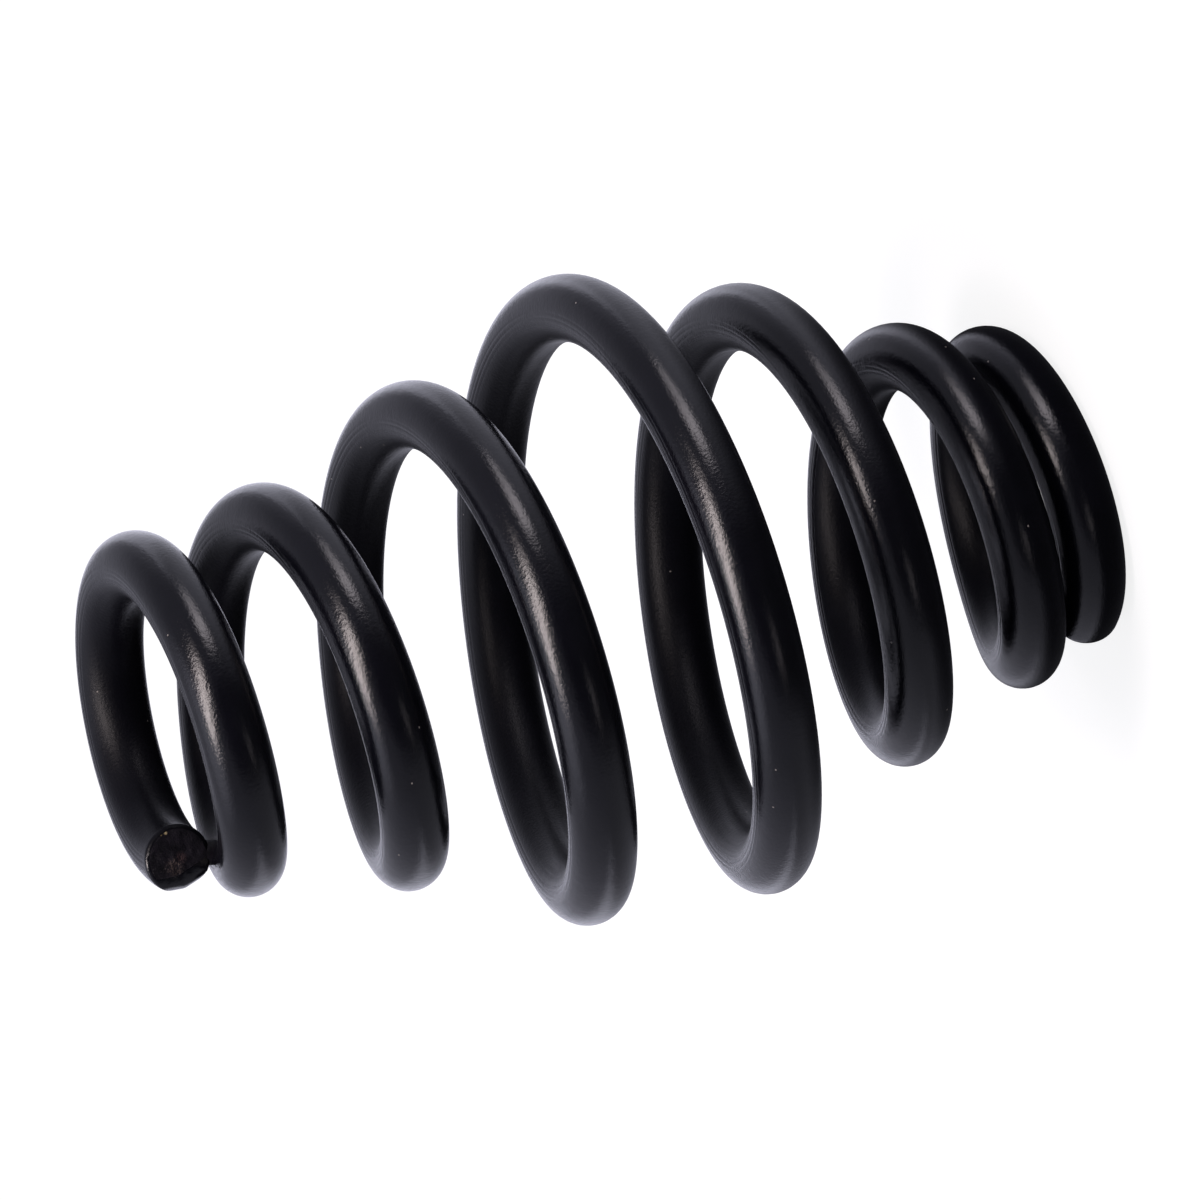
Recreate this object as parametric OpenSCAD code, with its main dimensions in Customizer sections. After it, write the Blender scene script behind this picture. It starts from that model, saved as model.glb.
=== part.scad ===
// Barrel spring: one round steel wire wound right-handed, narrow at both ends and wide in the
// middle. Both ends are closed and unground, and the wire is sheared off almost square.
// Units are millimetres. +Z is up, and the spring stands on its bottom end coil. The origin is
// the middle of that coil on the surface under it. The coils above lean a little, because the
// end coil isn't quite square to them.

/* [Wire] */
// Diameter of the wire over its coating
wire_d = 12.5; // [10:0.1:15]
// Number of turns from one wire end to the other
turns = 6.93; // [6.3:0.01:7.5]
// Direction of the bottom wire end, seen from above, in degrees from +X
start_angle = 200.5; // [0:0.5:360]

/* [Coil radii, to the middle of the wire] */
// Widest coil
belly_r = 54.7; // [45:0.1:65]
// Top end coil, before it draws in
top_r = 28.1; // [24:0.1:34]
// Bottom end coil, before it draws in
bottom_r = 27.3; // [25:0.1:34]
// How far the bottom wire end is drawn in towards the middle
bottom_tuck = 2.9; // [0:0.1:6]
// Turns over which it draws in
bottom_tuck_turns = 0.9; // [0.6:0.05:1.2]
// How far the top wire end is drawn in
top_tuck = 2.7; // [0:0.1:4]
// Turns over which it draws in
top_tuck_turns = 0.35; // [0.2:0.05:0.6]

/* [Barrel shape, in turns] */
// Place of the widest coil above the bottom wire end
belly_at = 3.31; // [2.9:0.01:3.6]
// Half width of the belly above its widest coil
belly_up_turns = 1.45; // [1.2:0.01:1.6]
// Half width of the belly below it
belly_down_turns = 1.3; // [1.1:0.01:1.5]
// Turns over which the bottom end's sizes pass into the top end's
change_turns = 4; // [3:0.1:5]

/* [Rise of one turn] */
// At the belly
belly_lead = 34.3; // [30:0.1:40]
// Towards the top end
top_lead = 29.3; // [26:0.1:34]
// Towards the bottom end
bottom_lead = 24.1; // [22:0.1:30]
// Turns over which the top end coil goes from flat to its full rise
top_ramp_turns = 1.31; // [1:0.01:1.6]
// The same at the bottom end, where the wire steps over its own end
bottom_ramp_turns = 0.2; // [0.1:0.01:0.4]
// Gap left at each wire end before the slope of the next coil takes its part of it
end_gap = 0.4; // [0.3:0.01:0.8]

/* [Out of square] */
// How far the top end coil stands off to the -X side of the coils' own axis
lean = 6.8; // [0:0.1:8]
// Angle between the bottom end coil and the coils above it, in degrees
end_tilt = 7.2; // [4:0.1:9]
// Direction in which the coils lean for that, in degrees from +X
lean_angle = 12; // [0:1:45]
// Turns of the bottom end coil that lie in its own plane
flat_turns = 0.65; // [0.55:0.01:0.7]
// Turns over which the wire then passes into the coils above
step_turns = 0.33; // [0.3:0.01:0.4]

/* [Sheared wire ends] */
// Slope of the sheared face, in degrees
shear_angle = 5; // [0:0.5:10]
// Rounding at the edge of the sheared face
edge_round = 0.8; // [0.3:0.1:1.5]

/* [Hidden] */
wire_r = wire_d / 2;
RINGS_PER_TURN = 32;
RING_SIDES = 16;
STEPS = ceil(turns * RINGS_PER_TURN);
STEP = turns / STEPS;

// Eases from 0 to 1 while x goes from 0 to 1
function ease(x) = let (c = min(max(x, 0), 1)) c * c * (3 - 2 * c);
function mix(a, b, k) = a + (b - a) * k;

// n counts turns from the bottom wire end. The coils are first laid out about their own axis.
function upper(n) = ease(0.5 + (n - belly_at) / change_turns);
function belly(n) = exp(-pow((n - belly_at) / (n > belly_at ? belly_up_turns : belly_down_turns), 2));
function drawn_in(n) =
    bottom_tuck * ease(1 - n / bottom_tuck_turns) + top_tuck * ease(1 - (turns - n) / top_tuck_turns);
function coil_r(n) = mix(mix(bottom_r, top_r, upper(n)), belly_r, belly(n)) - drawn_in(n);
function open_lead(n) = mix(mix(bottom_lead, top_lead, upper(n)), belly_lead, belly(n));

// Height that the plane of the bottom end coil adds
function end_plane(n) =
    tan(end_tilt) * coil_r(n) * cos(start_angle + 360 * n - lean_angle)
    * (1 - ease((n - flat_turns) / step_turns));

// How open the coil is at x turns from a wire end, when it is half open at half turns
function opening(x, half, ramp) = ease(0.5 + (x - half) / ramp);

// Rise over the first turn from a wire end, where n = from + way * x
function end_rise(half, ramp, from, way, parts = 40) =
    let (lifts = [for (i = [0:parts - 1]) let (x = (i + 0.5) / parts)
        open_lead(from + way * x) * opening(x, half, ramp)])
    lifts * [for (i = [0:parts - 1]) 1 / parts];

// Finds the half-open place by halving, so that the coil one turn on just clears the wire end
function half_open(need, ramp, from, way, low = 0, high = 1, tries = 16) =
    let (half = (low + high) / 2)
    tries == 0 ? half
    : end_rise(half, ramp, from, way) > need
        ? half_open(need, ramp, from, way, half, high, tries - 1)
        : half_open(need, ramp, from, way, low, half, tries - 1);
function clear_rise(n, next) = sqrt(max(0, pow(wire_d + end_gap, 2) - pow(coil_r(next) - coil_r(n), 2)));
BOTTOM_HALF = half_open(clear_rise(0, 1) + end_plane(0) - end_plane(1), bottom_ramp_turns, 0, 1);
TOP_HALF = half_open(clear_rise(turns, turns - 1), top_ramp_turns, turns, -1);
function lead(n) = open_lead(n) * opening(n, BOTTOM_HALF, bottom_ramp_turns)
    * opening(turns - n, TOP_HALF, top_ramp_turns);

// Rise of the wire's middle at every ring, added up from the bottom wire end
RISES = [for (i = 0, z = 0; i <= STEPS; z = z + lead((i + 0.5) * STEP) * STEP, i = i + 1) z];

function unit(v) = v / norm(v);
function way_out(n) = let (a = start_angle + 360 * n) [cos(a), sin(a), 0];
MIDDLES = [for (i = [0:STEPS]) let (n = i * STEP, z = RISES[i])
    coil_r(n) * way_out(n) + [-lean * z / RISES[STEPS], 0, z + end_plane(n)]];
function along(i) = unit(MIDDLES[min(i + 1, STEPS)] - MIDDLES[max(i - 1, 0)]);

// One ring of points square to the wire. At a wire end it is set back and slopes as the shear left it.
function ring(i, r = wire_r, back = 0, slope = 0) =
    let (t = along(i), out = unit(way_out(i * STEP) - (way_out(i * STEP) * t) * t), up = cross(out, t))
    [for (k = [0:RING_SIDES - 1]) let (a = 360 * k / RING_SIDES)
        MIDDLES[i] + (r * cos(a)) * out + (r * sin(a)) * up + (back + r * sin(a) * tan(slope)) * t];

module spring_coil() {
    rings = concat(
        [ring(0, wire_r - edge_round, 0, -shear_angle), ring(0, wire_r, edge_round, -shear_angle)],
        [for (i = [1:STEPS - 1]) ring(i)],
        [ring(STEPS, wire_r, -edge_round, shear_angle), ring(STEPS, wire_r - edge_round, 0, shear_angle)]);
    last = (len(rings) - 1) * RING_SIDES;
    points = concat([for (r = rings) each r], [MIDDLES[0], MIDDLES[STEPS]]);
    bottom_hub = len(points) - 2;
    top_hub = len(points) - 1;
    faces = [for (k = [0:RING_SIDES - 1]) let (m = (k + 1) % RING_SIDES) each concat(
        [[bottom_hub, m, k], [top_hub, last + k, last + m]],
        [for (a = [0:RING_SIDES:last - 1]) let (b = a + RING_SIDES)
            each [[a + k, b + m, b + k], [a + k, a + m, b + m]]])];
    color([0.07, 0.07, 0.08])
    translate([0, 0, wire_r])
    rotate(a = end_tilt, v = [-sin(lean_angle), cos(lean_angle), 0])
        polyhedron(points = points, faces = faces, convexity = 12);
}

spring_coil();
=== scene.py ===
from math import cos, pi, radians, sin, sqrt, tan

import bpy
import numpy as np
from mathutils import Matrix, Vector, noise


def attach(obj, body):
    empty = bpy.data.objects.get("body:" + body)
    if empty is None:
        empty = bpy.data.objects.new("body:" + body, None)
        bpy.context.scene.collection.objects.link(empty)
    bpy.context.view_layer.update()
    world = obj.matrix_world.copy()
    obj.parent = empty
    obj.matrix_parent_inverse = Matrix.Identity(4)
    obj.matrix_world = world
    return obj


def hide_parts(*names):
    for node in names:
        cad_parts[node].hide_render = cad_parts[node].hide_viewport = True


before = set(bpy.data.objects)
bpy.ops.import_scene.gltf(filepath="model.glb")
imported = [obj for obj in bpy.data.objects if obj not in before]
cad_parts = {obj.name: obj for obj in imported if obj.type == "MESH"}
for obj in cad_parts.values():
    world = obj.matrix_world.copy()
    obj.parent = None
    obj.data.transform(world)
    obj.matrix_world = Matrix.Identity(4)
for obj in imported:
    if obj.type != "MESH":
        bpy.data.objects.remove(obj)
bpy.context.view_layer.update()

MM = 0.001

# The wire, with the same values and formulas as the part's source, in millimetres, turns and degrees.
WIRE_R = 6.25
TURNS = 6.93
START_ANGLE = 200.5
BELLY_R, TOP_R, BOTTOM_R = 54.7, 28.1, 27.3
BOTTOM_TUCK, BOTTOM_TUCK_TURNS = 2.9, 0.9
TOP_TUCK, TOP_TUCK_TURNS = 2.7, 0.35
BELLY_AT, BELLY_UP, BELLY_DOWN, CHANGE_TURNS = 3.31, 1.45, 1.3, 4.0
BELLY_LEAD, TOP_LEAD, BOTTOM_LEAD = 34.3, 29.3, 24.1
TOP_RAMP, BOTTOM_RAMP = 1.31, 0.2
END_GAP = 0.4
LEAN, END_TILT, LEAN_ANGLE = 6.8, 7.2, 12.0
FLAT_TURNS, STEP_TURNS = 0.65, 0.33

# Rings along the wire. The line is worked out in finer steps, and all of the last ones carry a ring.
RINGS, STEPS_PER_RING, LAST_STEPS = 760, 8, 48

# The sheared ends: rings that round the rim, then rings that close in over the face.
SHEAR_ANGLE = 5.0
RIM = ((6.25, 0.8), (6.15, 0.45), (5.9, 0.18))          # radius, and how far back from the end
FACE = tuple((r, 0.0) for r in np.linspace(5.5, 0.34, 16))
TOP_RINGS_REPLACED = 5                                  # by the rim and face of the top end
# the shear has drawn the top end's outer side in: planes, by their angle and their distance from the middle
DRAWN = ((-21.0, 3.0), (2.0, 3.5))
DRAWN_LENGTH = 3.6

# Coiling marks: three fine grooves on the wire's upper side. Angles go from out towards up.
GROOVES = ((84.5, 0.07, 0.7), (93.5, 0.11, 2.6), (103.0, 0.09, 4.4))     # angle, depth, phase
GROOVE_WIDTH = 1.9                                      # half width in degrees
# how far in degrees the grooves wander round the wire, by the turn count
WANDER_AT = (0.0, 1.0, 2.2, 2.41, 2.485, 2.8, 3.25, 3.37, 3.43, 3.47, 3.6, 4.5, 5.5, 6.93)
WANDER_BY = (0.0, 2.5, 3.5, 1.5, -1.8, -4.5, -7.0, -6.0, 1.0, 4.0, 5.0, 0.0, -3.0, 1.0)

# Angles of the points round a ring: close together over the grooves, further apart elsewhere.
ROUND = np.radians(np.concatenate([np.arange(74.0, 114.0, 1.0), np.linspace(114.0, 434.0, 65)[:-1]]))
SIDES = len(ROUND)


def ease(x):
    c = np.clip(x, 0, 1)
    return c * c * (3 - 2 * c)


def mix(a, b, k):
    return a + (b - a) * k


def upper(n):
    return ease(0.5 + (n - BELLY_AT) / CHANGE_TURNS)


def belly(n):
    return np.exp(-((n - BELLY_AT) / np.where(n > BELLY_AT, BELLY_UP, BELLY_DOWN)) ** 2)


def coil_r(n):
    bottom_tuck = BOTTOM_TUCK * ease(1 - n / BOTTOM_TUCK_TURNS)
    top_tuck = TOP_TUCK * ease(1 - (TURNS - n) / TOP_TUCK_TURNS)
    return mix(mix(BOTTOM_R, TOP_R, upper(n)), BELLY_R, belly(n)) - (bottom_tuck + top_tuck)


def open_lead(n):
    return mix(mix(BOTTOM_LEAD, TOP_LEAD, upper(n)), BELLY_LEAD, belly(n))


def end_plane(n):
    a = np.radians(START_ANGLE + 360 * n - LEAN_ANGLE)
    return tan(radians(END_TILT)) * coil_r(n) * np.cos(a) * (1 - ease((n - FLAT_TURNS) / STEP_TURNS))


def opening(x, half, ramp):
    return ease(0.5 + (x - half) / ramp)


def half_open(need, ramp, start, way):
    """Where the coil is half open, so that the coil one turn on just clears the wire end."""
    low, high = 0.0, 1.0
    x = (np.arange(40) + 0.5) / 40
    for _ in range(16):
        half = (low + high) / 2
        if (open_lead(start + way * x) * opening(x, half, ramp)).mean() > need:
            low = half
        else:
            high = half
    return (low + high) / 2


def clear_rise(n, after):
    return sqrt(max(0.0, (2 * WIRE_R + END_GAP) ** 2 - float(coil_r(after) - coil_r(n)) ** 2))


def wire_line():
    """The turn count, length so far, middle, and directions along, out and up at each ring."""
    end = np.array([0.0, 1.0, TURNS, TURNS - 1])
    lift = float(end_plane(end)[0] - end_plane(end)[1])
    bottom_half = half_open(clear_rise(end[0], end[1]) + lift, BOTTOM_RAMP, 0, 1)
    top_half = half_open(clear_rise(end[2], end[3]), TOP_RAMP, TURNS, -1)
    steps = RINGS * STEPS_PER_RING
    n = np.linspace(0, TURNS, steps + 1)
    m = (n[1:] + n[:-1]) / 2
    lead = open_lead(m) * opening(m, bottom_half, BOTTOM_RAMP) * opening(TURNS - m, top_half, TOP_RAMP)
    z = np.concatenate([[0], np.cumsum(lead) * TURNS / steps])
    a = np.radians(START_ANGLE + 360 * n)
    way_out = np.stack([np.cos(a), np.sin(a), 0 * a], 1)
    p = coil_r(n)[:, None] * way_out
    p[:, 0] -= LEAN * z / z[-1]
    p[:, 2] += z + end_plane(n)
    t = np.gradient(p, axis=0)
    t /= np.linalg.norm(t, axis=1)[:, None]
    out = way_out - (way_out * t).sum(1)[:, None] * t
    out /= np.linalg.norm(out, axis=1)[:, None]
    up = np.cross(out, t)
    # stand it on its bottom end coil
    hinge = Vector((-sin(radians(LEAN_ANGLE)), cos(radians(LEAN_ANGLE)), 0))
    spin = np.array(Matrix.Rotation(radians(END_TILT), 3, hinge))
    p, t, out, up = (v @ spin.T for v in (p, t, out, up))
    p[:, 2] += WIRE_R
    length = np.concatenate([[0], np.cumsum(np.linalg.norm(np.diff(p, axis=0), axis=1))])
    last = steps - LAST_STEPS
    pick = np.concatenate([np.arange(0, last, STEPS_PER_RING), np.arange(last, steps + 1)])
    return n[pick], length[pick], p[pick], t[pick], out[pick], up[pick]


def grooved(n):
    """Radii round one ring, with the coiling grooves cut in."""
    wander = np.interp(n, WANDER_AT, WANDER_BY)
    r = np.full(SIDES, WIRE_R)
    for angle, depth, phase in GROOVES:
        off = np.degrees(ROUND) - angle - wander - 0.6 * sin(9.0 * n + phase)
        fade = 0.62 + 0.38 * sin(5.3 * n + 2 * phase) * sin(13.0 * n + phase)
        r -= depth * fade * np.exp(-(off / GROOVE_WIDTH) ** 2)
    return r


def end_radius(back):
    """Radii round a ring that is this far back from the top end."""
    r = np.full(SIDES, WIRE_R)
    along = min(1.0, back / DRAWN_LENGTH)
    for angle, ends_at in DRAWN:
        limit = ends_at + (WIRE_R - ends_at) * sqrt(along * (2 - along))
        r = np.minimum(r, limit / np.maximum(np.cos(ROUND - radians(angle)), 0.05))
    return r


def torn(x, y, seed):
    """Unevenness of the sheared face at x out and y up from the wire's middle, in millimetres."""
    coarse = 0.17 * noise.noise(Vector((x * 0.8, y * 0.8, seed)))
    return coarse + 0.07 * noise.noise(Vector((x * 2.6, y * 2.6, seed + 4)))


def end_rings(place, top):
    """Rings over one sheared end, from its rim to the middle of its face."""
    way, seed = (1.0, 2.0) if top else (-1.0, 3.0)
    rings = []
    for size, back in RIM + FACE:
        r = (end_radius(back) if top else np.full(SIDES, WIRE_R)) * size / WIRE_R
        slope = r * np.sin(ROUND) * tan(radians(SHEAR_ANGLE))
        share = 0.4 + 0.6 * min(1.0, (WIRE_R - size) / 0.6)
        relief = np.array([torn(q * cos(v), q * sin(v), seed) for q, v in zip(r, ROUND)])
        rings.append((*place, r, way * (slope - back - share * relief)))
    return rings


def wire_rings():
    """Every ring: length so far, middle, directions along, out and up, radii, and steps along the wire."""
    n, *line = wire_line()
    places = list(zip(*line))
    whole = places[-1][0]
    rings = [(*place, np.minimum(grooved(turn), end_radius(whole - place[0])), np.zeros(SIDES))
             for turn, place in zip(n, places)]
    bottom, top = end_rings(places[0], False), end_rings(places[-1], True)
    return bottom[::-1] + rings[1:-TOP_RINGS_REPLACED] + top


def coat_bridge(end, along, out, up):
    """The coat has bridged the notch between the top wire end and the coil beside it."""
    rows, cols = 16, 18
    depth, half_length, middle_at = 2.0, 2.4, -6.5

    def point(u, v):
        full = sin(u) ** 0.4                            # closes both ends
        wide = (2.35 + 0.6 * cos(u) ** 2) * full        # a little narrower half way
        front = -0.2 - 0.35 * (1 - cos(u))              # further back at the coil beside it
        return (end + along * (front - depth + depth * full * cos(v))
                + out * (wide * sin(v) + 0.5 - 0.4 * cos(u)) + up * (half_length * cos(u) + middle_at))

    verts = [point(pi * i / rows, 2 * pi * j / cols) for i in range(1, rows) for j in range(cols)]
    verts += [point(0.0, 0.0), point(pi, 0.0)]
    near, far = len(verts) - 2, len(verts) - 1
    last = (rows - 2) * cols
    quads, tris = [], []
    for j in range(cols):
        nxt = (j + 1) % cols
        quads += [(a + j, a + nxt, a + cols + nxt, a + cols + j) for a in range(0, last, cols)]
        tris += [(near, nxt, j), (last + j, last + nxt, far)]
    return np.array(verts), np.array(quads), np.array(tris)


def add_uv(mesh, name, uv):
    mesh.uv_layers.new(name=name).data.foreach_set("uv", uv.astype(np.float32).ravel())


def build_wire():
    rings = wire_rings()
    count = len(rings)
    length, middle, along, out, up, r, step = (np.array(v) for v in zip(*rings))
    x, y = r * np.cos(ROUND), r * np.sin(ROUND)
    verts = middle[:, None] + x[..., None] * out[:, None] + y[..., None] * up[:, None]
    verts = (verts + step[..., None] * along[:, None]).reshape(-1, 3)
    # faces between the rings, and round a middle point at both ends
    k = np.arange(SIDES)
    nxt = (k + 1) % SIDES
    ring = np.arange(count - 1)[:, None]
    low, high = ring * SIDES, (ring + 1) * SIDES
    quads = np.stack([low + k, high + k, high + nxt, low + nxt], -1).reshape(-1, 4)
    hub, last = count * SIDES, (count - 1) * SIDES
    tris = np.concatenate([np.stack([k, nxt, np.full(SIDES, hub)], 1),
                           np.stack([last + nxt, last + k, np.full(SIDES, hub + 1)], 1)])
    verts = np.concatenate([verts, middle[[0, -1]]])
    # the bottom end is bare steel out to its rim, while the top end's rim is coated
    bare = (ring < len(FACE) + 1) | (ring > count - len(FACE) - 1)
    bridge, bridge_quads, bridge_tris = coat_bridge(middle[-1], along[-1], out[-1], up[-1])
    quads = np.concatenate([quads, bridge_quads + len(verts)])
    tris = np.concatenate([tris, bridge_tris + len(verts)])
    verts = np.concatenate([verts, bridge])
    mesh = bpy.data.meshes.new("coil_wire")
    mesh.from_pydata((verts * MM).tolist(), [], quads.tolist() + tris.tolist())
    slots = np.concatenate([np.repeat(bare, SIDES), np.ones(len(bridge_quads) + len(tris))])
    mesh.polygons.foreach_set("material_index", slots.astype(np.int32))
    mesh.polygons.foreach_set("use_smooth", np.ones(len(mesh.polygons), bool))
    # length along the wire and arc round it, in millimetres
    arc = np.append(ROUND, ROUND[0] + 2 * pi) * WIRE_R
    shape = (count - 1, SIDES)
    u0, u1 = (np.broadcast_to(u[:, None], shape) for u in (length[:-1], length[1:]))
    v0, v1 = (np.broadcast_to(v, shape) for v in (arc[:-1], arc[1:]))
    corners = np.stack([np.stack(pair, -1) for pair in ((u0, v0), (u1, v0), (u1, v1), (u0, v1))], 2)
    elsewhere = np.zeros((len(bridge_quads) * 4 + len(tris) * 3, 2))
    add_uv(mesh, "AlongWire", np.concatenate([corners.reshape(-1, 2), elsewhere]))
    # place on the sheared face, out and up from the wire's middle, in millimetres, with the bridge far off
    off_face = np.full((len(bridge), 2), -7.0)
    place = np.concatenate([np.stack([x.ravel(), y.ravel()], 1), np.zeros((2, 2)), off_face])
    add_uv(mesh, "OnFace", place[np.concatenate([quads.ravel(), tris.ravel()])])
    mesh.validate(clean_customdata=False)
    mesh.update()
    obj = bpy.data.objects.new("coil_wire", mesh)
    bpy.context.scene.collection.objects.link(obj)
    return obj


class Nodes:
    """Short calls for building a node tree. A value is a number, a colour, a vector or an output to link."""

    def __init__(self, owner):
        owner.use_nodes = True
        self.tree = owner.node_tree
        self.tree.nodes.clear()

    def put(self, value, socket):
        if isinstance(value, bpy.types.NodeSocket):
            self.tree.links.new(value, socket)
        else:
            socket.default_value = value

    def add(self, kind, values=(), **settings):
        node = self.tree.nodes.new(kind)
        for name, setting in settings.items():
            setattr(node, name, setting)
        for key, value in dict(values).items():
            self.put(value, node.inputs[key])
        return node

    def math(self, operation, *values):
        return self.add("ShaderNodeMath", enumerate(values), operation=operation).outputs[0]

    def vector(self, operation, *values):
        node = self.add("ShaderNodeVectorMath", enumerate(values), operation=operation)
        return node.outputs["Vector" if operation == "NORMALIZE" else "Value"]

    def total(self, first, *others):
        for other in others:
            first = self.math("ADD", first, other)
        return first

    def ranged(self, value, low, high, to_low, to_high, smooth=False):
        values = {"Value": value, "From Min": low, "From Max": high, "To Min": to_low, "To Max": to_high}
        kind = "SMOOTHSTEP" if smooth else "LINEAR"
        return self.add("ShaderNodeMapRange", values, interpolation_type=kind).outputs[0]

    def facing(self, vector, way, low, high, to_low, to_high):
        """A level by how nearly a direction goes one way."""
        return self.ranged(self.vector("DOT_PRODUCT", vector, Vector(way).normalized()),
                           low, high, to_low, to_high, smooth=True)

    def near(self, vector, point, inner, outer):
        """1 close to a point, 0 away from it."""
        return self.ranged(self.vector("DISTANCE", vector, point), inner, outer, 1.0, 0.0, smooth=True)

    def noise(self, vector, scale, detail, roughness=0.5):
        values = {"Vector": vector, "Scale": scale, "Detail": detail, "Roughness": roughness}
        return self.add("ShaderNodeTexNoise", values).outputs["Fac"]

    def blended(self, factor, a, b):
        """A mix of two colours, or of an output and a colour."""
        a, b = ((*c, 1) if isinstance(c, tuple) else c for c in (a, b))
        node = self.add("ShaderNodeMix", {"Factor": factor, "A": a, "B": b}, data_type="RGBA")
        return node.outputs["Result"]

    def bumped(self, height, distance, normal=None):
        values = {"Height": height, "Strength": 1.0, "Distance": distance}
        if normal:
            values["Normal"] = normal
        return self.add("ShaderNodeBump", values).outputs[0]

    def emission(self, strength, colour=(1, 1, 1, 1)):
        return self.add("ShaderNodeEmission", {"Color": colour, "Strength": strength}).outputs[0]

    def either(self, factor, a, b):
        return self.add("ShaderNodeMixShader", {0: factor, 1: a, 2: b}).outputs[0]


def new_material(name):
    mat = bpy.data.materials.new(name)
    kit = Nodes(mat)
    shader = kit.add("ShaderNodeBsdfPrincipled")
    kit.add("ShaderNodeOutputMaterial", {"Surface": shader.outputs[0]})
    return mat, kit, shader


def black_wire_material():
    mat, kit, shader = new_material("satin_black_wire")
    on_wire = kit.add("ShaderNodeUVMap", uv_map="AlongWire").outputs[0]
    in_space = kit.add("ShaderNodeTexCoord").outputs["Object"]
    # fine lines drawn out along the wire
    stretch = kit.add("ShaderNodeMapping", {"Vector": on_wire, "Scale": (0.05, 2.4, 1.0)})
    lines = kit.noise(stretch.outputs[0], 1.0, 4.0, 0.6)
    # rougher, with a weaker sheen, on the inner side of the coil, by the arc from its middle
    arc = kit.add("ShaderNodeSeparateXYZ", {0: on_wire}).outputs["Y"]
    from_inside = kit.math("ABSOLUTE", kit.math("SUBTRACT", arc, pi * WIRE_R))
    duller = kit.ranged(from_inside, 5.0, 10.5, 0.24, 0.0, smooth=True)
    kit.put(kit.math("ADD", kit.ranged(lines, 0.3, 0.7, 0.11, 0.19), duller), shader.inputs["Roughness"])
    kit.put(kit.ranged(from_inside, 5.0, 10.5, 0.16, 0.5, smooth=True), shader.inputs["Specular IOR Level"])
    # soft mottling of the coat
    cloud = kit.ranged(kit.noise(in_space, 110.0, 6.0, 0.6), 0.35, 0.68, 0.0, 1.0)
    coat = kit.blended(cloud, (0.0017, 0.0017, 0.0034), (0.0030, 0.0030, 0.0054))
    # a few pale specks of dust, each about a third of a millimetre
    cells = kit.add("ShaderNodeTexVoronoi", {"Vector": on_wire, "Scale": 0.12}, voronoi_dimensions="2D")
    speck = kit.ranged(cells.outputs["Distance"], 0.014, 0.024, 1.0, 0.0)
    pick = kit.add("ShaderNodeSeparateColor", {0: cells.outputs["Color"]}).outputs[0]
    dust = kit.math("MULTIPLY", speck, kit.ranged(pick, 0.92, 0.93, 0.0, 1.0))
    kit.put(kit.blended(dust, coat, (0.24, 0.22, 0.20)), shader.inputs["Base Color"])
    # orange peel, slow waves and the drawn lines as relief, in metres
    peel = kit.bumped(kit.noise(in_space, 1900.0, 3.0, 0.6), 0.000065)
    slow = kit.bumped(kit.noise(in_space, 330.0, 2.0), 0.00004, peel)
    kit.put(kit.bumped(lines, 0.00001, slow), shader.inputs["Normal"])
    return mat


# Worn patches on the sheared face: place, radii from full to none, grain from which it shows, and colour.
PATCHES = (((1.35, 1.0, 0), (0.2, 2.3), 0.46, (0.13, 0.095, 0.082)),
           ((-0.1, -0.6, 0), (0.1, 1.5), 0.40, (0.060, 0.034, 0.036)),
           ((0.4, 3.2, 0), (0.5, 3.4), 0.60, (0.17, 0.16, 0.17)))
NICKS = (((-5.1, 1.5, 0), (0.08, 0.45), (0.62, 0.50, 0.27)),
         ((-5.0, 2.4, 0), (0.02, 0.3), (0.35, 0.27, 0.13)))


def sheared_face_material():
    """Torn steel under a thin coat: nearly black, with speckled rusty patches and two bright nicks."""
    mat, kit, shader = new_material("sheared_face")
    shader.inputs["Specular IOR Level"].default_value = 0.3
    on_face = kit.add("ShaderNodeUVMap", uv_map="OnFace").outputs[0]
    in_space = kit.add("ShaderNodeTexCoord").outputs["Object"]
    grain = kit.noise(in_space, 3000.0, 5.0, 0.6)
    blot = kit.noise(in_space, 420.0, 3.0)
    clouds = kit.ranged(blot, 0.38, 0.66, 0.0, 1.0)
    worn = kit.blended(clouds, (0.0018, 0.0013, 0.0034), (0.0078, 0.0058, 0.0112))
    for point, radii, low, colour in PATCHES:
        speckled = kit.ranged(grain, low, low + 0.2, 0.0, 1.0)
        worn = kit.blended(kit.math("MULTIPLY", kit.near(on_face, point, *radii), speckled), worn, colour)
    for point, radii, colour in NICKS:
        worn = kit.blended(kit.near(on_face, point, *radii), worn, colour)
    kit.put(worn, shader.inputs["Base Color"])
    kit.put(kit.ranged(blot, 0.3, 0.7, 0.42, 0.68), shader.inputs["Roughness"])
    kit.put(kit.bumped(grain, 0.00016), shader.inputs["Normal"])
    return mat


# The photograph's view. The spring lies on its side there, so the camera is rolled.
EYE = Vector((0.2107145, -2.0812405, 0.7360664))
RIGHT = Vector((-0.30724466, -0.30898891, -0.90007031))
DOWN = Vector((-0.94707493, 0.00684671, 0.32093955))
FORWARD = Vector((-0.09300424, 0.95104099, -0.29473927))
IMAGE_WIDTH, FOCAL = 1200, 12000.0          # in pixels
SIDEWAYS, LOWER = 4.467, 4.999              # pixels by which the middle of the view is off
DISTANCE = 2.1906992
SENSOR = 36.0                               # in millimetres


def added(name, data, right, top, back, place):
    """An object at a place, turned by its three axes."""
    obj = bpy.data.objects.new(name, data)
    bpy.context.scene.collection.objects.link(obj)
    obj.matrix_world = Matrix([[right[i], top[i], back[i], place[i]] for i in range(3)] + [[0, 0, 0, 1]])
    return obj


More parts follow.
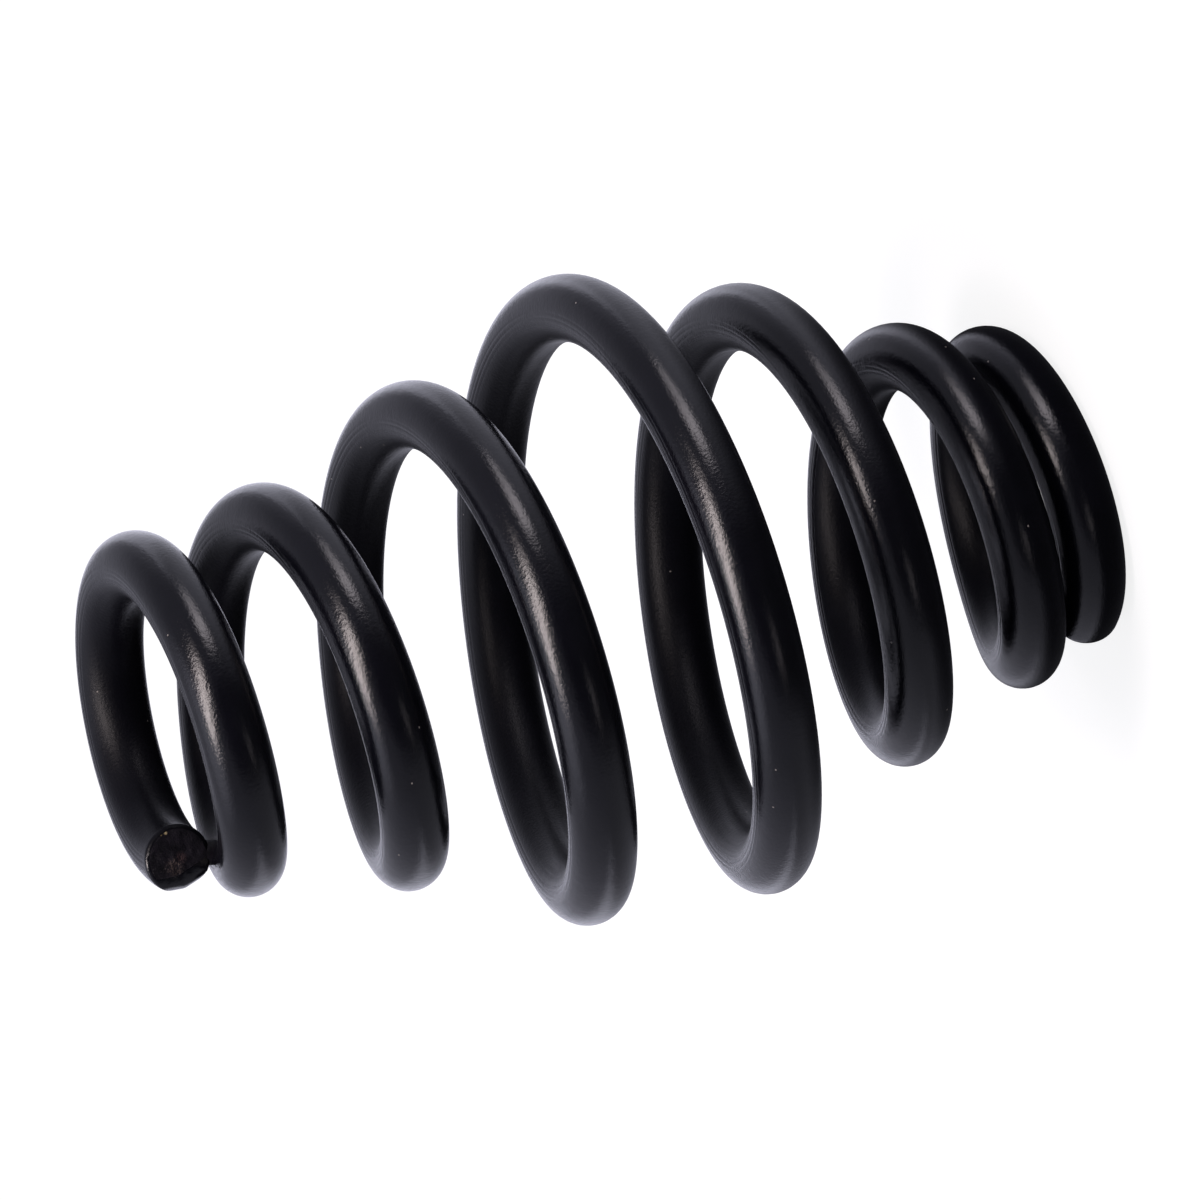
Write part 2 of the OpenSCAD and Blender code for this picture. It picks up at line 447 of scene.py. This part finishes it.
def make_camera():
    cam = bpy.data.cameras.new("photo_view")
    cam.sensor_width = SENSOR
    cam.lens = SENSOR * FOCAL / IMAGE_WIDTH
    cam.clip_start, cam.clip_end = 0.05, 100.0
    eye = EYE - (RIGHT * SIDEWAYS + DOWN * LOWER) * (DISTANCE / FOCAL)
    bpy.context.scene.camera = added("photo_view", cam, RIGHT, -DOWN, -FORWARD, eye)


def soft_box(name, place, aim, size, radiance, colour, spin=(0, 0, 1)):
    """A rectangular lamp of the given radiance and colour, invisible to the camera."""
    light = bpy.data.lights.new(name, "AREA")
    light.shape = "RECTANGLE"
    light.size, light.size_y = size
    light.energy = radiance * pi * size[0] * size[1]
    light.color = colour
    back = (Vector(place) - Vector(aim)).normalized()
    side = Vector(spin).cross(back).normalized()
    added(name, light, side, back.cross(side), back, place).visible_camera = False


def make_world():
    """White to the camera. Elsewhere dark on the camera's side, and paler behind and overhead."""
    world = bpy.data.worlds.new("studio")
    bpy.context.scene.world = world
    kit = Nodes(world)
    way = kit.add("ShaderNodeTexCoord").outputs["Generated"]
    level = kit.total(kit.facing(way, (-0.17, -0.98, 0.08), 0.68, 0.93, 0.29, 0.045),
                      kit.facing(way, (-0.45, 0.85, 0.25), 0.0, 0.9, 0.0, 0.15),
                      kit.facing(way, (-0.16, 0.08, 0.98), 0.84, 0.99, 0.0, 0.75),
                      kit.facing(way, (0.88, 0.42, -0.22), 0.78, 0.99, 0.0, 0.22))
    pale = kit.add("ShaderNodeBackground", {"Color": (0.94, 0.94, 1.12, 1), "Strength": level})
    white = kit.add("ShaderNodeBackground")
    seen = kit.add("ShaderNodeLightPath").outputs["Is Camera Ray"]
    kit.add("ShaderNodeOutputWorld", {"Surface": kit.either(seen, pale.outputs[0], white.outputs[0])})


def floor_material():
    mat = bpy.data.materials.new("floor_white")
    kit = Nodes(mat)
    path = kit.add("ShaderNodeLightPath")
    # a matt floor that keeps the object's shadow, lifted to white for the camera
    matt = kit.add("ShaderNodeBsdfDiffuse", {"Color": (0.32, 0.32, 0.32, 1)})
    glow = kit.emission(kit.math("MULTIPLY", path.outputs["Is Camera Ray"], 0.84))
    plain = kit.add("ShaderNodeAddShader", {0: matt.outputs[0], 1: glow})
    # in reflections it is dark in front of the object, pale beside it and white far behind it
    position = kit.add("ShaderNodeNewGeometry").outputs["Position"]
    around = kit.vector("NORMALIZE", position)
    away = kit.vector("LENGTH", position)
    behind = kit.add("ShaderNodeSeparateXYZ", {0: position}).outputs["Y"]
    beside = kit.math("MULTIPLY", kit.facing(around, (0.9, 0.42, 0), 0.1, 0.8, 0.0, 0.46),
                      kit.ranged(away, 0.25, 0.9, 1.0, 0.6, smooth=True))
    level = kit.total(kit.facing(around, (-0.17, -0.985, 0), 0.68, 0.93, 0.30, 0.05), beside,
                      kit.ranged(behind, 0.12, 0.5, 0.0, 0.65, smooth=True))
    # painted shadow: in reflections the floor is dark close under the object, all round
    clear = kit.ranged(away, 0.05, 0.17, 0.0, 1.0, smooth=True)
    level = kit.add("ShaderNodeMix", {"Factor": clear, "A": 0.03, "B": level}, data_type="FLOAT")
    shown = kit.emission(level.outputs["Result"], (0.95, 0.95, 1.12, 1))
    mirrored = kit.math("MAXIMUM", path.outputs["Is Glossy Ray"], path.outputs["Is Transmission Ray"])
    surface = kit.either(mirrored, plain.outputs[0], shown)
    kit.add("ShaderNodeOutputMaterial", {"Surface": surface})
    return mat


def make_floor():
    half = 30.0
    corners = [(-half, -half, 0), (half, -half, 0), (half, half, 0), (-half, half, 0)]
    mesh = bpy.data.meshes.new("floor")
    mesh.from_pydata(corners, [], [(0, 1, 2, 3)])
    mesh.materials.append(floor_material())
    obj = bpy.data.objects.new("floor", mesh)
    bpy.context.scene.collection.objects.link(obj)


scene = bpy.context.scene
scene.view_settings.view_transform = "Standard"
make_camera()
make_world()
make_floor()
MIDDLE = (0.005, 0.0, 0.095)
STRIP_ALONG = (0.679, -0.652, -0.337)
WARM, PLAIN = (1.0, 0.885, 0.87), (1.0, 0.92, 0.97)
# a long strip overhead, dimmer at its lower end
soft_box("strip_high", (0.125, -0.395, 1.115), MIDDLE, (0.28, 0.90), 12.0, WARM, STRIP_ALONG)
soft_box("strip_low", (0.497, -0.644, 0.841), MIDDLE, (0.28, 0.22), 3.3, WARM, STRIP_ALONG)
# two low boxes at the side, with a card on the floor before the broad one, and a small one in front
soft_box("side_box", (0.341, -0.258, 0.081), MIDDLE, (0.150, 0.157), 4.4, PLAIN)
soft_box("side_card", (0.318, -0.241, 0.003), (0.318, -0.241, 1.0), (0.150, 0.06), 3.0, PLAIN,
         (0.79, -0.61, 0))
soft_box("side_slot", (0.421, -0.142, 0.075), MIDDLE, (0.055, 0.085), 5.0, PLAIN)
soft_box("front_box", (-0.120, -0.270, 0.020), MIDDLE, (0.065, 0.036), 1.2, PLAIN)

wire = build_wire()
wire.data.materials.append(black_wire_material())
wire.data.materials.append(sheared_face_material())
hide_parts("spring_coil")
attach(wire, "root")
